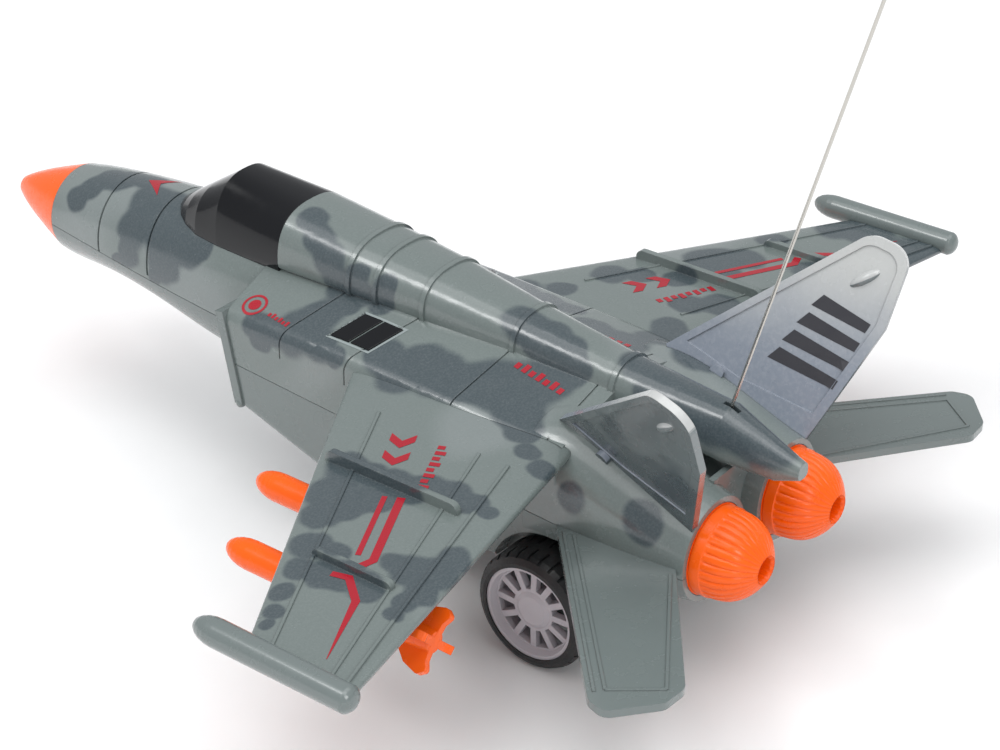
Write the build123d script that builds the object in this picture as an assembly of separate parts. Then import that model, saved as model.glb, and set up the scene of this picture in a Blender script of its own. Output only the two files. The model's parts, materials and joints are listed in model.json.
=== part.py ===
from build123d import *
import math
import os

# A radio-controlled toy jet plane that drives on wheels.
# Frame: millimetres, +Z up, nose towards -Y, the plane's left side is +X, X = 0 is its middle plane,
# and Z = 0 is the ground that the wheels stand on.

# ---------------------------------------------------------------- overall sizes
NOSE_LENGTH = 138.0            # nose tip to the intake fronts
BODY_LENGTH = 184.5            # intake fronts to the nozzle rims
HALF_SPAN = 162.5              # middle plane to the middle of a wingtip rail
AERIAL_LENGTH = 201.0

INTAKE_Y = -47.0
NOSE_TIP_Y = INTAKE_Y - NOSE_LENGTH
RIM_Y = INTAKE_Y + BODY_LENGTH

# ---------------------------------------------------------------- shells
WALL = 2.0
SEAM_GAP = 0.2                 # open line between the two shells
SEAM_Z = 55.4                  # height of the parting plane at Y = 0
SEAM_SLOPE = 3.97              # degrees, falling towards the tail
BODY_HALF_WIDTH = 40.0
SHOULDER_RADIUS = 6.0
CHINE_RADIUS = 4.0
DECK_Z = 76.5                  # outer edge of the upper deck
DECK_RIDGE_Z = 87.0            # where the deck would meet the spine
BELLY_Z = 26.0
BELLY_FRONT_Z = 44.0           # bottom of the intake mouths
BELLY_FLAT_Y = 8.0             # the belly is level behind this
NOSE_HALF_WIDTH = 22.5
CONE_LENGTH = 33.0
CONE_RADIUS = 16.5
CONE_Z = 66.5
CONE_SPIGOT = 6.0
GROOVE = 0.5                   # width and depth of a panel line
NOSE_GROOVE = 0.8
NOSE_GROOVES = (79.0, 52.8)    # distances ahead of the intake fronts

SPINE_RINGS = (37.0, 47.7, 66.3, 100.3, 136.9)    # distances behind the intake fronts
RING_WIDTH = 1.8
RING_HEIGHT = 0.7

CANOPY_FRONT = 50.0            # distances ahead of the intake fronts
CANOPY_APEX = 22.0
CANOPY_REAR = -8.0
CANOPY_SILL_Z = 88.4           # where the windscreen meets the nose
CANOPY_TOP_Z = 106.8
CANOPY_REAR_TOP_Z = 104.4
CANOPY_HALF_WIDTH = 18.2

MOUTH_DEPTH = 12.0
MOUTH_INNER_X = 25.0
FRAME_THICK = 3.4
FRAME_RAKE = 11.0              # degrees

NACELLE_X = 20.5
NACELLE_LENGTH = 49.5
RIM_Z = 48.2
RIM_RADIUS = 17.0
NOZZLE_RADIUS = 14.5
NOZZLE_LENGTH = 18.5
NOZZLE_EXIT = 5.0
NOZZLE_WALL = 1.6
NOZZLE_SPIGOT = 5.0
LAMP_RADIUS = 2.5

# ---------------------------------------------------------------- wings and tail
WING_ROOT_X = 40.0
WING_LE = 58.5                 # root leading edge behind the intake fronts
WING_CHORD = 84.0
WING_SWEEP = 0.547             # mm back per mm outboard, leading edge
WING_TE_SWEEP = 0.156
WING_TOP_Z = 75.0
WING_DROP = 0.052              # mm down per mm outboard
WING_THICK_ROOT = 5.5
WING_THICK_TIP = 3.6
RAIL_RADIUS = 4.3
RAIL_LENGTH = 58.0
RAIL_RISE = 0.6                # rail axis above the wing's top
RAIL_AHEAD = 18.2              # rail nose ahead of the wing's leading edge
FENCE_SPANS = ((81.5, 3.5, 50.5, 3.4), (119.5, 11.0, 29.0, 2.4))

FIN_BASE = (28.2, 86.0, 79.3)
FIN_CANT = 24.4
FIN_TOE = 10.6
FIN_THICK = 2.6
TAILPLANE_Z = 48.0
TAILPLANE_THICK = 2.6

MISSILE_RADIUS = 4.7
MISSILE_LENGTHS = (71.0, 81.0)
MISSILE_Z = 55.0
MISSILE_XS = (83.0, 115.0)

# ---------------------------------------------------------------- wheels and drive
REAR_TYRE_RADIUS = 20.2
REAR_RIM_RADIUS = 16.2
REAR_TYRE_WIDTH = 17.0
REAR_WHEEL_X = 42.5            # middle of the tyre
AXLE_RADIUS = 1.5
AXLE_AHEAD = 47.3              # rear axle ahead of the nozzle rims
RUN_CLEARANCE = 0.05
SIDE_CLEARANCE = 0.5
WELL_CLEARANCE = 2.6
GEAR_MODULE = 0.6
FINAL_TEETH = 30
IDLER_PINION_TEETH = 12
IDLER_TEETH = 32
MOTOR_TEETH = 10
GEAR_WIDTH = 4.0
GEAR_BACKLASH = 0.25
MOTOR_RADIUS = 10.0
MOTOR_LENGTH = 24.0
PLATE_THICK = 2.0

FRONT_TYRE_RADIUS = 12.0
FRONT_RIM_RADIUS = 8.2
FRONT_TYRE_WIDTH = 9.0
FRONT_WHEEL_X = 9.5
FRONT_AXLE_Y = -8.0
FRONT_AXLE_RADIUS = 1.0
KINGPIN_RADIUS = 2.5
STEER_MODULE = 0.5
STEER_TEETH = 36
STEER_PINION_TEETH = 10

# ---------------------------------------------------------------- battery bay
CELL_RADIUS = 7.1
CELL_LENGTH = 49.0
CELL_COUNT = 3
CELL_GAP = 0.4
BAY_FRONT_Y = 9.0
DOOR_GAP = 0.4
HINGE_RADIUS = 0.7

BOX_WALL = 1.2
CONTACT_SPACE = 1.2

BOSS_RADIUS = 4.2
SCREW_RADIUS = 1.2
SCREW_HEAD_RADIUS = 2.4
SCREW_HEAD_DEPTH = 7.0
BUSH_RADIUS = 3.0
IDLER_BORE = 1.05
REAR_SPOKES = 12
BOARD_Z = 58.0
STEER_GEAR_Z = 46.0
BRACKET_Z = 49.6
STEER_CAN_RADIUS = 6.2
STEER_CAN_LENGTH = 13.0
SWITCH_X = 30.0
SWITCH_Y = 20.0
SWITCH_TRAVEL = 4.0
MISSILE_AHEAD = 25.5
AERIAL_LEAN = 15.8
AERIAL_RADIUS = 0.55
AERIAL_PIVOT_Z = 82.0
AERIAL_AHEAD = 10.0
PIN_RADIUS = 0.6

AERIAL_Y = RIM_Y - AERIAL_AHEAD
DOOR_LENGTH = CELL_LENGTH + 2 * CONTACT_SPACE + 2 * BOX_WALL + 1.6
DOOR_HALF = (CELL_COUNT * 2 * CELL_RADIUS + (CELL_COUNT + 1) * CELL_GAP) / 2 + BOX_WALL
TAB_THICK = 1.2
DOOR_SCREW_SLACK = 0.6
TAB_X = -12.0
TAB_Y = BAY_FRONT_Y + DOOR_GAP + DOOR_LENGTH + 2.8
HINGE_Y = BAY_FRONT_Y + DOOR_GAP + 1.0
HINGE_Z = BELLY_Z + WALL / 2
REAR_AXLE_Y = RIM_Y - AXLE_AHEAD
REAR_AXLE_Z = REAR_TYRE_RADIUS
FRONT_AXLE_Z = FRONT_TYRE_RADIUS
NACELLE_Y = RIM_Y - NACELLE_LENGTH

FRONT_FACE = Pos(0, INTAKE_Y + FRAME_THICK, DECK_Z) * Rot(FRAME_RAKE, 0, 0)
MOTOR_LEAN = (-0.35, 0.937)    # direction from the idler to the motor shaft, in Y and Z
IDLER_LEAN = (-0.5, 0.866)     # direction from the rear axle to the idler

IDLER_REACH = GEAR_MODULE * (FINAL_TEETH + IDLER_PINION_TEETH) / 2
IDLER_Y = REAR_AXLE_Y + IDLER_REACH * IDLER_LEAN[0]
IDLER_Z = REAR_AXLE_Z + IDLER_REACH * IDLER_LEAN[1]
MOTOR_REACH = GEAR_MODULE * (IDLER_TEETH + MOTOR_TEETH) / 2
MOTOR_Y = IDLER_Y + MOTOR_REACH * MOTOR_LEAN[0]
MOTOR_Z = IDLER_Z + MOTOR_REACH * MOTOR_LEAN[1]

NODES = {}


# ---------------------------------------------------------------- helpers
def block(x, y, z):
    """Box between pairs of limits."""
    size = Box(x[1] - x[0], y[1] - y[0], z[1] - z[0])
    return Pos((x[0] + x[1]) / 2, (y[0] + y[1]) / 2, (z[0] + z[1]) / 2) * size


def rod(start, end, radius):
    """Cylinder from one point to another."""
    line = Vector(*end) - Vector(*start)
    place = Plane(origin=Vector(*start), z_dir=line)
    return place * Cylinder(radius, line.length, align=(Align.CENTER, Align.CENTER, Align.MIN))


def shaft(x, y, z, radius):
    """Cylinder along X between two X limits."""
    return rod((x[0], y, z), (x[1], y, z), radius)


def flip(shape):
    """Mirror image in the middle plane."""
    return mirror(shape, about=Plane.YZ)


def power_curve(angle, power):
    """Cosine and sine raised so that a circle turns towards a square."""
    c = math.cos(angle)
    s = math.sin(angle)
    return (math.copysign(abs(c) ** (2 / power), c), math.copysign(abs(s) ** (2 / power), s))


def oval(y, x, half_width, low, middle, high, power, count=28):
    """Rounded section across the plane, with its own depth above and below its middle."""
    points = []
    for i in range(count):
        c, s = power_curve(2 * math.pi * i / count, power)
        height = (high - middle) if s > 0 else (middle - low)
        points.append(Vector(x + half_width * c, y, middle + height * s))
    return make_face(Spline(*points, periodic=True))


def seam_z(y):
    return SEAM_Z - y * math.tan(math.radians(SEAM_SLOPE))


def beyond_seam(upper):
    """Everything above or below the parting plane, with half of the open seam."""
    big = 800.0
    shift = (big / 2 - SEAM_GAP / 2) * (1 if upper else -1)
    return Pos(0, 0, SEAM_Z) * Rot(-SEAM_SLOPE, 0, 0) * Pos(0, 0, shift) * Box(big, big, big)


def gear(teeth, module, width, bore, x, y, z, turn=0.0):
    """Spur gear about an axis along X, with straight-sided teeth."""
    pitch = teeth * module / 2
    root = pitch - 1.25 * module
    tip = pitch + module
    step = 2 * math.pi / teeth
    slack = GEAR_BACKLASH / 2 / pitch
    points = []
    for i in range(teeth):
        middle = i * step + turn
        for radius, share in ((root, -0.36), (tip, -0.12), (tip, 0.12), (root, 0.36)):
            angle = middle + share * step - math.copysign(slack, share)
            points.append((radius * math.cos(angle), radius * math.sin(angle)))
    face = make_face(Polyline(*points, close=True)) - Circle(bore)
    place = Plane(origin=(x, y, z), x_dir=(0, 1, 0), z_dir=(1, 0, 0))
    return place * extrude(face, width)


def turned(profile, x, y, z, direction):
    """Solid of revolution: profile points are (distance along the axis, radius)."""
    face = make_face(Polyline(*[(a, r) for a, r in profile], close=True))
    solid = revolve(face, Axis.X, 360)
    place = Plane(origin=(x, y, z), x_dir=direction, z_dir=(0, 0, 1))
    return place * solid


# ---------------------------------------------------------------- fuselage volumes
def nose_volume(inset):
    """Round nose behind the cone, growing squarer towards the intakes."""
    joint = NOSE_TIP_Y + CONE_LENGTH
    length = INTAKE_Y - joint
    sections = (
        (0.00, CONE_RADIUS, CONE_Z - CONE_RADIUS, CONE_Z + CONE_RADIUS, 2.0),
        (0.25, 18.8, 50.3, 86.8, 2.1),
        (0.52, 21.0, 47.2, 88.6, 2.2),
        (0.73, 22.0, 42.4, 89.0, 2.4),
        (1.00, NOSE_HALF_WIDTH, 41.5, 89.0, 2.7),
        (1.28, NOSE_HALF_WIDTH, 41.5, 88.0, 2.8),
    )
    faces = []
    for share, half, low, high, power in sections:
        y = joint + length * share + (inset if share == 0 else 0)
        faces.append(oval(y, 0, half - inset, low + inset, CONE_Z - 2.5 * share, high - inset, power))
    return loft(faces)


def spine_volume(inset):
    """Hump from the canopy back to the tail sting."""
    rear = RIM_Y - INTAKE_Y
    sections = (
        (-CANOPY_REAR, CANOPY_HALF_WIDTH, CANOPY_REAR_TOP_Z, 82.0),
        (SPINE_RINGS[0], 17.2, 101.2, 82.0),
        (SPINE_RINGS[2], 15.0, 98.0, 80.0),
        (SPINE_RINGS[3], 12.0, 93.2, 77.0),
        (SPINE_RINGS[4], 10.0, 88.6, 72.0),
        (rear - 9.0, 8.0, 85.4, 67.0),
        (rear + 9.0, 4.6, 78.0, 66.5),
        (rear + 17.0, 2.8, 74.8, 69.3),
    )
    faces = []
    for back, half, high, low in sections:
        last = back > rear + 10
        y = INTAKE_Y + back - (inset if last else 0) + (inset if back == -CANOPY_REAR else 0)
        slim = min(inset, 0.6 * half)
        middle = max(low + 1.0, min(87.0, low + (high - low) * 0.35))
        faces.append(oval(y, 0, half - slim, low + slim * 0.5, middle, high - slim, 2.5))
    return loft(faces, ruled=True)


def belly_z(y):
    """Height of the belly: a ramp behind the intakes, then level."""
    share = min(1.0, (y - INTAKE_Y) / (BELLY_FLAT_Y - INTAKE_Y))
    return BELLY_FRONT_Z + (BELLY_Z - BELLY_FRONT_Z) * share


def body_outline(y, half, belly, deck, ridge, inset):
    """Flat-sided section of the centre body."""
    half = half - inset
    belly = belly + inset
    deck = deck - inset
    ridge = ridge - inset
    points = [(-half, belly), (half, belly), (half, deck), (0, ridge), (-half, deck)]
    face = make_face(Polyline(*points, close=True))
    face = fillet(face.vertices().sort_by(Axis.Y)[:2], CHINE_RADIUS)
    deck_corners = [v for v in face.vertices() if abs(v.Y - deck) < 0.01 and abs(v.X) > half / 2]
    face = fillet(deck_corners, SHOULDER_RADIUS)
    return Plane(origin=(0, y, 0), x_dir=(1, 0, 0), z_dir=(0, -1, 0)) * face


def body_volume(inset):
    """Centre body: intakes, deck, side walls and belly."""
    start = INTAKE_Y + (MOUTH_DEPTH + WALL if inset > 1 else 0)
    stations = (
        (start, DECK_Z, DECK_RIDGE_Z + 3.0),
        (BELLY_FLAT_Y, DECK_Z, DECK_RIDGE_Z + 3.0),
        (INTAKE_Y + SPINE_RINGS[3], DECK_Z - 0.9, DECK_RIDGE_Z),
        (NACELLE_Y + 4.0, DECK_Z - 3.0, DECK_RIDGE_Z - 3.0),
    )
    faces = []
    for y, deck, ridge in stations:
        end = y - (0 if y < NACELLE_Y else inset)
        faces.append(body_outline(end, BODY_HALF_WIDTH, belly_z(y), deck, ridge, inset))
    return loft(faces, ruled=True)


def nacelle_volume(inset):
    """Left engine nacelle, from the centre body to the nozzle rim."""
    sections = (
        (-8.0, NACELLE_X + 0.3, 19.6, 27.0, 54.0, 78.6, 3.2),
        (0.0, NACELLE_X + 0.3, 19.6, 27.5, 54.0, 79.2, 2.9),
        (24.0, NACELLE_X + 0.2, 19.2, 29.0, 51.5, 73.6, 2.4),
        (NACELLE_LENGTH, NACELLE_X, RIM_RADIUS, RIM_Z - RIM_RADIUS, RIM_Z, RIM_Z + RIM_RADIUS, 2.0),
    )
    faces = []
    for back, x, half, low, middle, high, power in sections:
        y = NACELLE_Y + back
        if back == NACELLE_LENGTH and inset:
            y = y + 0.1
        faces.append(oval(y, x, half - inset, low + inset, middle, high - inset, power))
    return loft(faces)


def axle_fairing(inset):
    """Housing under the belly around the rear axle and its gear."""
    half = REAR_WHEEL_X - REAR_TYRE_WIDTH / 2 - SIDE_CLEARANCE - 1.5
    low = REAR_AXLE_Z - 12.4
    box = block((-half + inset, half - inset), (REAR_AXLE_Y - 18 + inset, REAR_AXLE_Y + 15 - inset),
                (low + inset, BELLY_Z + 12))
    edges = box.edges().filter_by(Axis.X).sort_by(Axis.Z)[:2]
    return fillet(edges, 8.0 - inset)


def wheel_wells(grow):
    """Round recesses for both rear wheels."""
    inner = REAR_WHEEL_X - REAR_TYRE_WIDTH / 2 - SIDE_CLEARANCE - 1.0 - grow
    radius = REAR_TYRE_RADIUS + WELL_CLEARANCE + grow
    left = shaft((inner, BODY_HALF_WIDTH + 20), REAR_AXLE_Y, REAR_AXLE_Z, radius)
    return left + flip(left)


def front_rake():
    """Wedge that leans the fronts of the intake boxes back towards their lower edge."""
    reach = BODY_HALF_WIDTH + 5
    wedge = block((-reach, reach), (-30, 0), (-60, 20))
    return FRONT_FACE * wedge


def fuselage(inset):
    """Whole outside of the fuselage, or the cavity when inset by the wall."""
    nacelle = nacelle_volume(inset)
    body = body_volume(inset)
    if not inset:
        body = body - front_rake()
    solid = body + nose_volume(inset) + spine_volume(inset)
    solid = solid + nacelle + flip(nacelle) + axle_fairing(inset)
    return solid - wheel_wells(inset)


# ---------------------------------------------------------------- shells
def mouth():
    """Pocket of the left intake."""
    high = DECK_Z - 5.0
    low = BELLY_FRONT_Z + 2.0
    return block((MOUTH_INNER_X, BODY_HALF_WIDTH - 3.0), (INTAKE_Y - 5, INTAKE_Y + MOUTH_DEPTH), (low, high))


def screw_points():
    """The four places where a screw joins the shells."""
    places = ((BODY_HALF_WIDTH - 9.0, INTAKE_Y + 25.0), (BODY_HALF_WIDTH - 8.0, REAR_AXLE_Y - 33.0))
    return [(side * x, y) for x, y in places for side in (1, -1)]


def spine_rings():
    """Raised bands round the spine."""
    grown = spine_volume(-RING_HEIGHT)
    bands = []
    for back in SPINE_RINGS:
        y = INTAKE_Y + back
        bands.append(grown & block((-30, 30), (y, y + RING_WIDTH), (DECK_Z, 120)))
    return bands


def panel_grooves():
    """Shallow lines across the deck, over its shoulders and round the nose."""
    skin = body_volume(0) - body_volume(GROOVE)
    cuts = []
    lines = ((37.0, 26.0), (66.5, 53.5), (100.3, 96.8), (133.0, 133.0))
    for inner, outer in lines:
        for side in (1, -1):
            start = Vector(0, INTAKE_Y + inner + 0.4 * (inner - outer), 60)
            end = Vector(side * (BODY_HALF_WIDTH + 4), INTAKE_Y + outer, 60)
            place = Plane(origin=start, x_dir=end - start, z_dir=(0, 0, 1))
            length = (end - start).length
            slot = place * Pos(length / 2, 0, DECK_Z + 6.0 - 60) * Box(length, GROOVE, 30)
            cuts.append(slot & skin)
    nose_skin = nose_volume(0) - nose_volume(NOSE_GROOVE)
    for ahead in NOSE_GROOVES:
        y = INTAKE_Y - ahead
        cuts.append(nose_skin & block((-30, 30), (y, y + NOSE_GROOVE), (CONE_Z - 2.5, 100)))
    return cuts


def bosses(outer, upper):
    """Screw posts from the belly, or from the deck, to the parting plane."""
    posts = []
    for x, y in screw_points():
        low = seam_z(y) + 0.4 if upper else 0
        high = 120 if upper else seam_z(y) - 0.4
        posts.append(rod((x, y, low), (x, y, high), BOSS_RADIUS) & outer)
    return posts


def canopy(outer):
    """Black one-piece canopy: sloping windscreen, then a rounded roof."""
    slope = (CANOPY_TOP_Z - CANOPY_SILL_Z) / (CANOPY_FRONT - CANOPY_APEX)
    faces = []
    for back, half in ((0.0, 4.5), (2.5, 8.0), (6.0, 10.9), (10.5, 13.2), (17.0, 15.2)):
        top = CANOPY_SILL_Z + slope * back
        faces.append(oval(INTAKE_Y - CANOPY_FRONT + back, 0, half, 76.0, 84.0, top, 2.5))
    faces.append(oval(INTAKE_Y - CANOPY_APEX, 0, 16.4, 76.0, 84.5, CANOPY_TOP_Z, 2.5))
    faces.append(oval(INTAKE_Y - CANOPY_REAR, 0, CANOPY_HALF_WIDTH, 78.0, 87.0, CANOPY_REAR_TOP_Z, 2.5))
    return loft(faces, ruled=True) - outer


def upper_cuts():
    """Pilot holes and the aerial's slot."""
    cuts = [aerial_slot()]
    for x, y in screw_points():
        cuts.append(rod((x, y, seam_z(y) - 1), (x, y, seam_z(y) + 11), SCREW_RADIUS + RUN_CLEARANCE))
    return cuts


def lower_cuts():
    """Holes for screws, kingpin, bushes, hinge pins, battery door and switch."""
    pins = DOOR_HALF + 1.8
    cuts = [rod((0, FRONT_AXLE_Y, 0), (0, FRONT_AXLE_Y, 60), KINGPIN_RADIUS + RUN_CLEARANCE),
            shaft((-60, 60), REAR_AXLE_Y, REAR_AXLE_Z, BUSH_RADIUS),
            shaft((-pins, pins), HINGE_Y, HINGE_Z, HINGE_RADIUS + RUN_CLEARANCE),
            door_opening(), tab_recess(), switch_slot(),
            rod((TAB_X, TAB_Y, BELLY_Z), (TAB_X, TAB_Y, BELLY_Z + 8), SCREW_RADIUS + DOOR_SCREW_SLACK)]
    for x, y in screw_points():
        cuts.append(rod((x, y, 0), (x, y, belly_z(y) + SCREW_HEAD_DEPTH), SCREW_HEAD_RADIUS + 0.4))
        cuts.append(rod((x, y, 0), (x, y, 80), SCREW_RADIUS + 0.2))
    return cuts


def make_shells():
    outer = fuselage(0)
    cavity = fuselage(WALL)
    joint = NOSE_TIP_Y + CONE_LENGTH
    spigot = CONE_RADIUS - WALL - 0.1
    socket = rod((0, joint - 1, CONE_Z), (0, joint + CONE_SPIGOT + 1, CONE_Z), spigot)
    hollow = (outer + spine_rings()) - [cavity, mouth(), flip(mouth()), socket] - panel_grooves()
    upper = (hollow - beyond_seam(False)) + bosses(outer, True)
    lower = (hollow - beyond_seam(True)) + bosses(outer, False) + inner_posts(outer)
    NODES["upper_shell"] = upper - upper_cuts()
    NODES["lower_shell"] = lower - lower_cuts()
    NODES["canopy"] = canopy([outer, spine_rings()[0]])
    return outer, cavity


def inner_posts(outer):
    """Steering boss, hinge pads, door screw boss and circuit board posts."""
    posts = [steering_boss()] + hinge_lugs() + [post & outer for post in board_posts()]
    posts.append(rod((TAB_X, TAB_Y, BELLY_Z + 1.5), (TAB_X, TAB_Y, BELLY_Z + 8), SCREW_RADIUS + 2.4))
    return posts


# ---------------------------------------------------------------- battery bay
def tab_recess():
    """Step in the floor for the door's screw tab."""
    reach = 4.0 + DOOR_GAP
    return block((TAB_X - reach, TAB_X + reach), (TAB_Y - 8, TAB_Y + reach), (0, BELLY_Z + TAB_THICK + 0.2))


def door_opening():
    reach = DOOR_HALF + DOOR_GAP
    back = BAY_FRONT_Y + DOOR_LENGTH + 2 * DOOR_GAP
    return block((-reach, reach), (BAY_FRONT_Y, back), (0, BELLY_Z + WALL + 0.5))


def hinge_lugs():
    """Pads on the floor that take the door's hinge pins."""
    lugs = []
    for side in (1, -1):
        inner = DOOR_HALF + DOOR_GAP
        limits = sorted((side * inner, side * (inner + 4.0)))
        lugs.append(block(limits, (HINGE_Y - 2.5, HINGE_Y + 2.5), (BELLY_Z + 0.5, HINGE_Z + 3.0)))
    return lugs


def make_battery_bay():
    y0 = BAY_FRONT_Y + DOOR_GAP
    y1 = y0 + DOOR_LENGTH
    door = block((-DOOR_HALF, DOOR_HALF), (y0, y1), (BELLY_Z, BELLY_Z + WALL))
    ribs = []
    for i in range(5):
        y = y1 - 10 - i * 2.4
        ribs.append(block((-8, 8), (y, y + 1.2), (BELLY_Z - 0.6, BELLY_Z + 0.5)))
    tab = block((TAB_X - 4, TAB_X + 4), (y1 - 2, TAB_Y + 4), (BELLY_Z, BELLY_Z + TAB_THICK))
    pin = shaft((-DOOR_HALF - 1.5, DOOR_HALF + 1.5), HINGE_Y, HINGE_Z, HINGE_RADIUS)
    door = door + ribs + [tab, pin]
    NODES["battery_door"] = door - rod((TAB_X, TAB_Y, 0), (TAB_X, TAB_Y, 50), SCREW_RADIUS)
    NODES["battery_door_screw"] = screw(TAB_X, TAB_Y, BELLY_Z - 1.6, 6.0)

    floor = BELLY_Z + WALL + 0.6
    wide = CELL_COUNT * 2 * CELL_RADIUS + (CELL_COUNT + 1) * CELL_GAP
    cell_y = y0 + BOX_WALL + CONTACT_SPACE + 0.8
    box_end = cell_y + CELL_LENGTH + CONTACT_SPACE + BOX_WALL
    top = floor + 2 * CELL_RADIUS + CELL_GAP + BOX_WALL
    half = wide / 2 + BOX_WALL
    box = block((-half, half), (y0 + 0.8, box_end), (floor, top))
    hollow_y = (y0 + 0.8 + BOX_WALL, box_end - BOX_WALL)
    inside = block((-wide / 2, wide / 2), hollow_y, (floor - 1, top - BOX_WALL))
    NODES["battery_box"] = box - inside
    cells = []
    contacts = []
    for i in range(CELL_COUNT):
        x = (i - (CELL_COUNT - 1) / 2) * (2 * CELL_RADIUS + CELL_GAP)
        z = floor + CELL_RADIUS
        body = rod((x, cell_y, z), (x, cell_y + CELL_LENGTH - 1.4, z), CELL_RADIUS)
        tip = rod((x, cell_y + CELL_LENGTH - 1.4, z), (x, cell_y + CELL_LENGTH, z), 2.7)
        cell = body + tip
        if i % 2:
            middle = cell_y + CELL_LENGTH / 2
            cell = Pos(0, middle, 0) * Rot(0, 0, 180) * Pos(0, -middle, 0) * cell
        cells.append(cell)
        for y in (cell_y - CONTACT_SPACE, cell_y + CELL_LENGTH + CONTACT_SPACE - 0.5):
            contacts.append(block((x - 5, x + 5), (y, y + 0.5), (z - 4.5, z + 4.5)))
    NODES["battery_cells"] = Compound(cells)
    NODES["battery_contacts"] = Compound(contacts)


# ---------------------------------------------------------------- screws and switch
def screw(x, y, z, length):
    """Pan-head screw with its head down at height z."""
    head = rod((x, y, z), (x, y, z + 1.6), SCREW_HEAD_RADIUS)
    stem = rod((x, y, z + 1.6), (x, y, z + 1.6 + length), SCREW_RADIUS)
    cross = block((x - 1.5, x + 1.5), (y - 0.3, y + 0.3), (z - 1, z + 0.8))
    cross = cross + block((x - 0.3, x + 0.3), (y - 1.5, y + 1.5), (z - 1, z + 0.8))
    return head + stem - cross


def make_screws():
    screws = []
    for x, y in screw_points():
        seat = belly_z(y) + SCREW_HEAD_DEPTH
        screws.append(screw(x, y, seat - 1.6, seam_z(y) + 8.0 - seat))
    NODES["shell_screws"] = Compound(screws)


def switch_slot():
    return block((SWITCH_X - 2.4, SWITCH_X + 2.4), (SWITCH_Y - 1.8, SWITCH_Y + SWITCH_TRAVEL + 1.8),
                 (0, BELLY_Z + WALL + 1))


def make_switch():
    top = BELLY_Z + WALL
    body = block((SWITCH_X - 4, SWITCH_X + 4), (SWITCH_Y - 4, SWITCH_Y + SWITCH_TRAVEL + 4), (top, top + 5))
    hollow = block((SWITCH_X - 2.4, SWITCH_X + 2.4), (SWITCH_Y - 1.8, SWITCH_Y + SWITCH_TRAVEL + 1.8),
                   (top - 1, top + 3.4))
    NODES["switch_body"] = body - hollow
    knob_x = (SWITCH_X - 2.1, SWITCH_X + 2.1)
    knob = block(knob_x, (SWITCH_Y - 1.4, SWITCH_Y + 1.4), (BELLY_Z - 2.2, top + 3.2))
    NODES["switch_slider"] = knob


# ---------------------------------------------------------------- front steering
def steering_boss():
    """Tube in the lower shell that the kingpin turns in."""
    low = FRONT_TYRE_RADIUS * 2 + 3.6
    return rod((0, FRONT_AXLE_Y, low), (0, FRONT_AXLE_Y, STEER_GEAR_Z - 0.6), KINGPIN_RADIUS + 3.0)


def gear_flat(teeth, module, width, bore, x, y, z, turn=0.0):
    """Spur gear about an upright axis."""
    wheel = gear(teeth, module, width, bore, 0, 0, 0, turn)
    return Pos(x, y, z) * Rot(0, -90, 0) * wheel


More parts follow.
